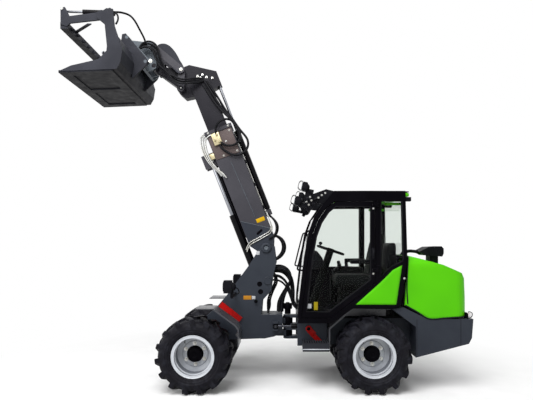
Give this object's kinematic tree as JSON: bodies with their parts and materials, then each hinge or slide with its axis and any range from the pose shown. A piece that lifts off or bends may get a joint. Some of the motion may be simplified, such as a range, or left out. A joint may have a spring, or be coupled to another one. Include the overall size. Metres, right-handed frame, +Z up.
{
  "type": "compact articulated telescopic wheel loader",
  "caption": "Compact articulated wheel loader with cab, lime hood, raised telescopic boom and grapple bucket; it steers at its middle, lifts, extends, dumps and clamps.",
  "frame": {"origin": "on the ground under the middle of the overall length and width", "axes": "+X forward towards the bucket, +Y to the machine's left, +Z up"},
  "size_m": [4.6324, 1.42, 4.3079],
  "materials": {
    "chassis_paint": "satin",
    "boom_paint": "satin",
    "tool_paint": "satin",
    "axle_paint": "satin",
    "engine_iron": "matte",
    "cab_black": "satin",
    "roof_plastic": "satin",
    "clear_glass": "gloss",
    "lime_paint": "gloss",
    "interior": "matte",
    "step_metal": "satin",
    "lamp_body": "satin",
    "safety_red": "satin",
    "barrel_black": "gloss",
    "rod_chrome": "gloss",
    "rim_silver": "satin",
    "tyre_rubber": "matte"
  },
  "bodies": {
    "rear_frame": {"rear_chassis": "chassis_paint", "counterweight": "chassis_paint", "rear_axle": "axle_paint", "engine_block": "engine_iron", "cab_floor": "cab_black", "cab_left_frame": "cab_black", "cab_right_frame": "cab_black", "cab_rear_wall": "cab_black", "cab_front_wall": "cab_black", "cab_roof": "lime_paint", "cab_glass": "clear_glass", "side_panels": "lime_paint", "operator_seat": "interior", "steering_column": "interior", "control_console": "interior", "rear_mudguards": "roof_plastic", "entry_step": "step_metal", "roof_lamps": "lamp_body", "lock_bar": "safety_red"},
    "front_frame": {"front_tower": "chassis_paint", "front_axle": "axle_paint", "front_mudguards": "roof_plastic", "head_lamps": "lamp_body", "boom_prop": "safety_red"},
    "boom": {"outer_boom": "boom_paint", "tele_barrel": "barrel_black"},
    "extension": {"inner_boom": "boom_paint", "tele_rod": "rod_chrome"},
    "crank": {"tilt_crank": "boom_paint"},
    "link": {"tilt_link": "boom_paint"},
    "tool": {"hitch": "chassis_paint", "bucket": "tool_paint"},
    "claw": {"claw": "tool_paint"},
    "claw_barrels": {"claw_barrels": "barrel_black"},
    "claw_rods": {"claw_rods": "rod_chrome"},
    "lift_barrel": {"lift_barrel": "barrel_black"},
    "lift_rod": {"lift_rod": "rod_chrome"},
    "steer_barrel": {"steer_barrel": "barrel_black"},
    "steer_rod": {"steer_rod": "rod_chrome"},
    "hood": {"hood": "lime_paint", "intake_scoop": "roof_plastic"},
    "door": {"door_frame": "cab_black", "door_glass": "clear_glass"},
    "front_left_wheel": {"front_left_rim": "rim_silver", "front_left_tyre": "tyre_rubber"},
    "front_right_wheel": {"front_right_rim": "rim_silver", "front_right_tyre": "tyre_rubber"},
    "rear_left_wheel": {"rear_left_rim": "rim_silver", "rear_left_tyre": "tyre_rubber"},
    "rear_right_wheel": {"rear_right_rim": "rim_silver", "rear_right_tyre": "tyre_rubber"}
  },
  "joints": [
    {"name": "steer", "type": "hinge", "parent": "rear_frame", "child": "front_frame", "pos_m": [-0.22123, 0, 0.655], "axis": [0, 0, 1], "range_deg": [-40, 40]},
    {"name": "lift", "type": "hinge", "parent": "front_frame", "child": "boom", "pos_m": [0.03977, 0, 1.629], "axis": [0, -1, 0], "range_deg": [-95, 2]},
    {"name": "extend", "type": "slide", "parent": "boom", "child": "extension", "axis": [0.3665, 0, 0.9304], "range_m": [-0.39, 0]},
    {"name": "tilt", "type": "hinge", "parent": "extension", "child": "tool", "pos_m": [1.41523, 0, 3.85477], "axis": [0, 1, 0], "range_deg": [-120, 45]},
    {"name": "tilt_crank", "type": "hinge", "parent": "extension", "child": "crank", "pos_m": [1.0837, 0, 3.58339], "axis": [0, 1, 0], "range_deg": [-120, 45]},
    {"name": "tilt_link", "type": "hinge", "parent": "crank", "child": "link", "pos_m": [1.07807, 0, 3.79832], "axis": [0, 1, 0], "range_deg": [-45, 120]},
    {"name": "claw", "type": "hinge", "parent": "tool", "child": "claw", "pos_m": [1.84116, 0, 4.20676], "axis": [0, -1, 0], "range_deg": [-38, 45]},
    {"name": "claw_barrels", "type": "hinge", "parent": "tool", "child": "claw_barrels", "pos_m": [1.747, 0, 4.26277], "axis": [0, -1, 0], "range_deg": [-32.12, 38]},
    {"name": "claw_rods", "type": "slide", "parent": "claw_barrels", "child": "claw_rods", "axis": [0.9994, 0, 0.0355], "range_m": [-0.0476, 0.0403]},
    {"name": "lift_barrel", "type": "hinge", "parent": "front_frame", "child": "lift_barrel", "pos_m": [0.13417, 0, 1.2022], "axis": [0, -1, 0], "range_deg": [-89.5, 2.08]},
    {"name": "lift_rod", "type": "slide", "parent": "lift_barrel", "child": "lift_rod", "axis": [0.364, 0, 0.9314], "range_m": [-0.6173, 0.0135]},
    {"name": "steer_barrel", "type": "hinge", "parent": "rear_frame", "child": "steer_barrel", "pos_m": [-0.68123, 0.205, 0.69], "axis": [0, 0, 1], "range_deg": [-9.8, 9.8]},
    {"name": "steer_rod", "type": "slide", "parent": "steer_barrel", "child": "steer_rod", "axis": [0.9997, 0.0246, 0], "range_m": [-0.1471, 0.1471]},
    {"name": "door", "type": "hinge", "parent": "rear_frame", "child": "door", "pos_m": [-1.2239, 0.608, 1.6], "axis": [0, 0, 1], "range_deg": [0, 95]},
    {"name": "hood", "type": "hinge", "parent": "rear_frame", "child": "hood", "pos_m": [-1.56723, 0, 1.5253], "axis": [0, 1, 0], "range_deg": [0, 50]},
    {"name": "front_left_wheel", "type": "hinge", "parent": "front_frame", "child": "front_left_wheel", "pos_m": [0.83877, 0.515, 0.425], "axis": [0, 1, 0], "continuous": true},
    {"name": "front_right_wheel", "type": "hinge", "parent": "front_frame", "child": "front_right_wheel", "pos_m": [0.83877, -0.515, 0.425], "axis": [0, 1, 0], "continuous": true},
    {"name": "rear_left_wheel", "type": "hinge", "parent": "rear_frame", "child": "rear_left_wheel", "pos_m": [-1.17623, 0.515, 0.425], "axis": [0, 1, 0], "continuous": true},
    {"name": "rear_right_wheel", "type": "hinge", "parent": "rear_frame", "child": "rear_right_wheel", "pos_m": [-1.17623, -0.515, 0.425], "axis": [0, 1, 0], "continuous": true}
  ],
  "couplings": [
    {"joint": "tilt_crank", "follows": "tilt", "ratio": 1},
    {"joint": "tilt_link", "follows": "tilt", "ratio": -1},
    {"joint": "claw_barrels", "follows": "claw", "ratio": 0.84},
    {"joint": "claw_rods", "follows": "claw", "m_per_rad": -0.06},
    {"joint": "lift_barrel", "follows": "lift", "ratio": 0.94},
    {"joint": "lift_rod", "follows": "lift", "m_per_rad": 0.372},
    {"joint": "steer_barrel", "follows": "steer", "ratio": 0.24},
    {"joint": "steer_rod", "follows": "steer", "m_per_rad": -0.21}
  ]
}
